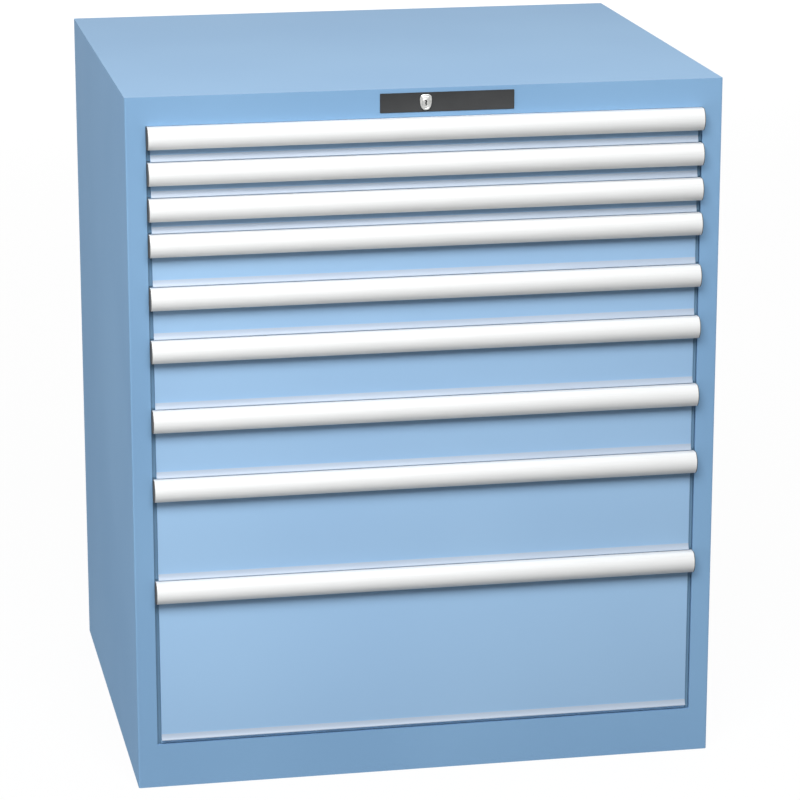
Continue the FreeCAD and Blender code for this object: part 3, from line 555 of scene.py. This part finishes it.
def makePanel(k):
    low, high = panelBox(k)
    half = high.x
    face = low.y + panel["kickReach"]
    kickTop = low.z + panel["kickHeight"]
    sheet = startPiece("drawer_%d_panel" % k, "plane", (0, face, (kickTop + high.z) / 2),
                       (2 * half, high.z - kickTop, 1), (math.radians(90), 0, 0), size=1)
    edit(sheet)
    pick(sheet, "edges", lambda middle, way: near(middle.z, kickTop))
    slope = kickTop - low.z - panel["kickFlat"]
    for fall, reach in panel["kickSteps"]:
        drag(y=-reach * panel["kickReach"], z=-fall * slope)
    drag(z=-panel["kickFlat"])
    pick(sheet, "edges", lambda middle, way: near(abs(middle.x), half) or near(middle.z, low.z)
         or near(middle.z, high.z))
    drag(y=high.y - face)
    mesh = bmesh.from_edit_mesh(sheet.data)
    for point in mesh.verts:
        if point.select:
            point.co.y = high.y
    bmesh.update_edit_mesh(sheet.data)
    bpy.ops.mesh.select_all(action="SELECT")
    bpy.ops.mesh.normals_make_consistent(inside=False)
    mesh = bmesh.from_edit_mesh(sheet.data)
    front = max(mesh.faces, key=lambda one: one.calc_area())
    if front.normal.y > 0:
        bpy.ops.mesh.flip_normals()
    pick(sheet, "edges", lambda middle, way: alongX(way) and near(middle.z, kickTop)
         and near(middle.y, face))
    bpy.ops.mesh.bevel(offset=panel["kickBend"], segments=5, affect="EDGES")
    pick(sheet, "edges", lambda middle, way: alongX(way) and near(middle.y, low.y)
         and middle.z > low.z + panel["slack"])
    bpy.ops.mesh.bevel(offset=panel["kickEdge"], segments=3, affect="EDGES")
    leaveEdit()
    easeEdges(sheet, panel["bend"], 3, 60)
    modify(sheet, "SOLIDIFY", thickness=panel["sheet"], offset=-1, use_even_offset=True)
    smooth(sheet)
    dress(sheet, coatBlue)
    sheet.data.materials.append(kickHighlightStrip)
    kickHighlightTop = kickTop - panel["kickBend"] / 2
    # The kick's forward-facing faces take the pale painted highlight
    for polygon in sheet.data.polygons:
        middle = polygon.center
        turned = polygon.normal.y < -0.4 and abs(polygon.normal.x) < 0.3
        if turned and middle.z < kickHighlightTop and middle.y < face + panel["slack"]:
            polygon.material_index = 1
    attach(sheet, "drawer_%d" % k)
    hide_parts("drawer_%d_front" % k)


# Gap seals: a flat rubber strip with a low rim, beside each front and under the last one. Their
# colours are painted: a blue-grey painted shade for the dark of the side gaps, and a pale painted
# light under the last front that lifts its shadowed gap to the same tone.
seal = {"rim": 0.0003, "slope": 0.0003, "sink": 0.00008, "edge": 0.00015}


def makeSeal(k, name, low, high, rubber):
    low, high = Vector(low), Vector(high)
    strip = startPiece("drawer_%d_%s" % (k, name), "cube", (low + high) / 2, high - low, size=1)
    edit(strip)
    pick(strip, "faces", towardsFront)
    bpy.ops.mesh.inset(thickness=seal["rim"])
    bpy.ops.mesh.inset(thickness=seal["slope"], depth=-seal["sink"])
    leaveEdit()
    easeEdges(strip, seal["edge"], 2, 40)
    smooth(strip)
    dress(strip, rubber)
    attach(strip, "drawer_%d" % k)
    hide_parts("drawer_%d_front" % k)


def makeSeals(k):
    low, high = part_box("drawer_%d_front" % k)
    inner, outer = panelBox(k)
    front = low.y + panel["kickReach"] + panel["lipDepth"]
    back = front + panel["sheet"]
    makeSeal(k, "seal_left", (low.x, front, low.z), (inner.x, back, high.z), gapShadeRubber)
    makeSeal(k, "seal_right", (outer.x, front, low.z), (high.x, back, high.z), gapShadeRubber)
    if k == 9:
        makeSeal(k, "seal_foot", (inner.x, front, low.z), (outer.x, back, inner.z), footGapPaleRubber)


for k in drawers:
    makePanel(k)
    makeSeals(k)
print("drawer fronts made")


# Lock: a flat dark strip, a cast shield with a groove inside its rim, a collar, and the cylinder's
# face with a wavy keyhole
stripShape = {"corner": 0.001, "rim": 0.0008, "sink": 0.00012, "edge": 0.00015}
shield = {"half": 0.00815, "up": 0.0074, "down": 0.0144, "centre": 0.0035, "power": (3.4, 2.4),
          "sheet": 0.0022, "proud": 0.0002, "slope": 0.0006, "rise": 0.00036, "rim": 0.0013,
          "groove": 0.0007, "grooveDepth": 0.0006, "grooveRise": 0.00048, "bore": 0.0049,
          "boreDeep": 0.012, "edge": 0.0002}
collarShape = {"radius": 0.0058, "rise": 0.0006, "edge": 0.00025}
rotor = {"radius": 0.0048, "sheet": 0.0010, "rim": 0.0007, "crown": 0.0002, "edge": 0.00012,
         "slotReach": 0.0038, "channelDeep": 0.012}
keyhole = {"wide": 0.0021, "tall": 0.0080, "sway": 0.0005, "waves": 2, "cuts": 7, "deep": 0.004,
           "back": 0.0035}
frontward = (math.radians(90), 0, 0)      # turns a cylinder's axis from front to back
stripLow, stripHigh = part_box("lock_strip")
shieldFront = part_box("lock_body")[0].y
turnAxis = [joint for joint in frame["joints"] if joint["name"] == "lock_turn"][0]["pos_m"]


def makeStrip():
    strip = startPiece("lock_strip_plate", "cube", (stripLow + stripHigh) / 2,
                       stripHigh - stripLow, size=1)
    edit(strip)
    pick(strip, "edges", lambda middle, way: abs(way.y) > 0.9)
    bpy.ops.mesh.bevel(offset=stripShape["corner"], segments=5, affect="EDGES")
    pick(strip, "faces", towardsFront)
    bpy.ops.mesh.inset(thickness=stripShape["rim"])
    drag(y=stripShape["sink"])
    leaveEdit()
    easeEdges(strip, stripShape["edge"], 2, 40)
    smooth(strip)
    dress(strip, stripPlastic)
    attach(strip, "cabinet")
    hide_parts("lock_strip")


def shieldReach(angle):
    # Distance from the shield's middle to its edge in that direction: a squarish oval above, and a
    # longer, rounder one below
    upwards = math.sin(angle) > 0
    tall = shield["up"] if upwards else shield["down"]
    power = shield["power"][0 if upwards else 1]
    across = abs(math.cos(angle)) / shield["half"]
    return (across ** power + (abs(math.sin(angle)) / tall) ** power) ** (-1 / power)


def bore(piece):
    # The hole for the turning cylinder
    carve(piece, startPiece("bore_cutter", "cylinder", (turnAxis[0], shieldFront, turnAxis[2]),
                            radius=shield["bore"], rotation=frontward, vertices=64,
                            depth=shield["boreDeep"]))


def makeShield():
    middle = shieldFront + shield["sheet"] / 2 - shield["proud"]
    level = turnAxis[2] + shield["centre"]
    cast = startPiece("lock_shield", "cylinder", (turnAxis[0], middle, level), rotation=frontward,
                      radius=shield["half"], vertices=96, depth=shield["sheet"])
    edit(cast)
    mesh = bmesh.from_edit_mesh(cast.data)
    for point in mesh.verts:
        across = point.co.x - turnAxis[0]
        up = point.co.z - level
        share = shieldReach(math.atan2(up, across)) / math.hypot(across, up)
        point.co.x = turnAxis[0] + across * share
        point.co.z = level + up * share
    bmesh.update_edit_mesh(cast.data)
    pick(cast, "faces", towardsFront)
    bpy.ops.mesh.inset(thickness=shield["slope"], depth=shield["rise"])
    bpy.ops.mesh.inset(thickness=shield["rim"])
    bpy.ops.mesh.inset(thickness=shield["groove"], depth=-shield["grooveDepth"])
    bpy.ops.mesh.inset(thickness=shield["groove"], depth=shield["grooveRise"])
    leaveEdit()
    easeEdges(cast, shield["edge"], 3, 25)
    bore(cast)
    smooth(cast, 50)
    dress(cast, nickelCasting)
    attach(cast, "cabinet")


def makeCollar():
    front = shieldFront - shield["proud"]
    collar = startPiece("lock_collar", "cylinder", (turnAxis[0], front, turnAxis[2]),
                        rotation=frontward, radius=collarShape["radius"], vertices=64,
                        depth=2 * collarShape["rise"])
    bore(collar)
    easeEdges(collar, collarShape["edge"], 3, 40)
    smooth(collar)
    dress(collar, nickelCasting)
    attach(collar, "cabinet")


makeStrip()
dress(nodes["lock_body"], nickelCasting)
softenBends(nodes["lock_body"])
makeShield()
makeCollar()
dress(nodes["lock_cylinder"], nickelCasting)
nodes["lock_cylinder"].data.materials.append(keyChannelShade)
for polygon in nodes["lock_cylinder"].data.polygons:
    # What the new face leaves in view of the rotor is its channel, given the near-black painted shade
    if polygon.center.y < frontPlane + rotor["channelDeep"] and abs(polygon.normal.z) < 0.3:
        polygon.material_index = 1
softenBends(nodes["lock_cylinder"])


def cutKeyhole(face):
    middle = (turnAxis[0], turnAxis[1] - keyhole["back"], turnAxis[2])
    cutter = startPiece("keyhole_cutter", "cube", middle,
                        (keyhole["wide"], keyhole["deep"], keyhole["tall"]), size=1)
    edit(cutter)
    pick(cutter, "edges", lambda middle, way: abs(way.z) > 0.9)
    bpy.ops.mesh.subdivide(number_cuts=keyhole["cuts"])
    mesh = bmesh.from_edit_mesh(cutter.data)
    for point in mesh.verts:
        share = (point.co.z - turnAxis[2]) / keyhole["tall"]
        point.co.x += keyhole["sway"] * math.sin(share * keyhole["waves"] * math.tau)
    bmesh.update_edit_mesh(cutter.data)
    leaveEdit()
    carve(face, cutter)


def makeRotorFace():
    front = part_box("lock_cylinder")[0].y
    disc = startPiece("lock_rotor_face", "cylinder", (turnAxis[0], front, turnAxis[2]),
                      rotation=frontward, radius=rotor["radius"], vertices=48, depth=rotor["sheet"])
    edit(disc)
    pick(disc, "faces", towardsFront)
    bpy.ops.mesh.inset(thickness=rotor["rim"], depth=rotor["crown"])
    leaveEdit()
    easeEdges(disc, rotor["edge"], 2, 40)
    cutKeyhole(disc)
    smooth(disc)
    dress(disc, nickelCasting)
    disc.data.materials.append(keyChannelShade)
    # The keyhole's walls take the near-black painted shade
    for polygon in disc.data.polygons:
        reach = math.hypot(polygon.center.x - turnAxis[0], polygon.center.z - turnAxis[2])
        if reach < rotor["slotReach"] and abs(polygon.normal.y) < 0.3:
            polygon.material_index = 1
    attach(disc, "lock_cylinder")


makeRotorFace()
print("lock made")


# Studio: a wide pale floor under a dim sky, a large soft lamp above the front, weaker ones at the
# sides and a broad one far behind
studio = {"floorSize": 80, "floorShare": 0.95, "dull": ("727272", "787878"),
          "white": ("F6F6F6", "FBFBFB"), "dustMm": 900, "sky": 0.22, "aim": (0, 0, 0.5)}


def makeFloor():
    floor = startPiece("floor", "plane", (0, 0, 0), size=studio["floorSize"])
    material, tree, place = newMaterial("painted_studio_floor")
    dust = addNode(tree, "TexNoise", Vector=place, Scale=perMetre(studio["dustMm"]), Detail=3.0)
    path = addNode(tree, "LightPath")
    # The camera sees a white floor with a faint shadow, and the object gets a dull floor's light
    dull = addNode(tree, "ValToRGB", tones=studio["dull"], Fac=dust.outputs["Fac"])
    white = addNode(tree, "ValToRGB", tones=studio["white"], Fac=dust.outputs["Fac"])
    colour = addNode(tree, "Mix", {"data_type": "RGBA"}, i0=path.outputs["Is Camera Ray"],
                     i6=dull.outputs["Color"], i7=white.outputs["Color"])
    matt = addNode(tree, "BsdfPrincipled", Base_Color=colour.outputs[2], Roughness=0.8)
    bright = addNode(tree, "Emission", Color=grey(1.0), Strength=1.0)
    seen = addNode(tree, "Math", {"operation": "MAXIMUM"}, i0=path.outputs["Is Camera Ray"],
                   i1=path.outputs["Is Glossy Ray"])
    share = addNode(tree, "Math", {"operation": "MULTIPLY"}, i0=seen.outputs["Value"],
                    i1=studio["floorShare"])
    mixed = addNode(tree, "MixShader", Fac=share.outputs["Value"], i1=matt.outputs["BSDF"],
                    i2=bright.outputs["Emission"])
    addNode(tree, "OutputMaterial", Surface=mixed.outputs["Shader"])
    dress(floor, material)


def makeSky():
    world = bpy.data.worlds.new("studio_sky")
    bpy.context.scene.world = world
    world.use_nodes = True
    tree = world.node_tree
    tree.nodes.clear()
    path = addNode(tree, "LightPath")
    seen = addNode(tree, "Math", {"operation": "MAXIMUM"}, i0=path.outputs["Is Camera Ray"],
                   i1=path.outputs["Is Glossy Ray"])
    seen = addNode(tree, "Math", {"operation": "MAXIMUM"}, i0=seen.outputs["Value"],
                   i1=path.outputs["Is Transmission Ray"])
    strength = addNode(tree, "MapRange", Value=seen.outputs["Value"], To_Min=studio["sky"],
                       To_Max=1.0)
    sky = addNode(tree, "Background", Color=grey(1.0), Strength=strength.outputs["Result"])
    addNode(tree, "OutputWorld", Surface=sky.outputs["Background"])


# Soft boxes, each aimed at the middle of the cabinet
lamps = {"key_softbox": {"place": (-0.80, -3.8, 4.25), "size": (4.4, 2.3), "watts": 312},
         "side_softbox": {"place": (-3.4, -0.9, 0.6), "size": (1.4, 1.2), "watts": 30},
         "right_softbox": {"place": (4.2, 1.2, 0.5), "size": (2.6, 1.0), "watts": 80},
         "back_softbox": {"place": (0.8, 8.0, 0.85), "size": (5.0, 1.4), "watts": 320}}


def addLamp(name, place, size, watts):
    lamp = bpy.data.lights.new(name, "AREA")
    lamp.shape = "RECTANGLE"
    lamp.size, lamp.size_y = size
    lamp.energy = watts
    holder = bpy.data.objects.new(name, lamp)
    holder.location = place
    aim = Vector(studio["aim"]) - Vector(place)
    holder.rotation_euler = aim.to_track_quat("-Z", "Y").to_euler()
    bpy.context.scene.collection.objects.link(holder)


makeFloor()
makeSky()
for name, values in lamps.items():
    addLamp(name, **values)


# Camera of the photograph, fitted to the corners of the box
view = {"place": (-0.907, -4.868, 1.823), "forward": (0.1814, 0.9471, -0.2649),
        "lens": 152.8, "sensor": 36, "nearest": 0.1, "farthest": 200}
cameraData = bpy.data.cameras.new("camera")
cameraData.lens = view["lens"]
cameraData.sensor_width = view["sensor"]
cameraData.clip_start = view["nearest"]
cameraData.clip_end = view["farthest"]
camera = bpy.data.objects.new("camera", cameraData)
camera.location = view["place"]
camera.rotation_mode = "QUATERNION"
camera.rotation_quaternion = Vector(view["forward"]).to_track_quat("-Z", "Y")
bpy.context.scene.collection.objects.link(camera)
bpy.context.scene.camera = camera
bpy.context.scene.view_settings.view_transform = "Standard"
print("studio and camera made")

deselectAll()
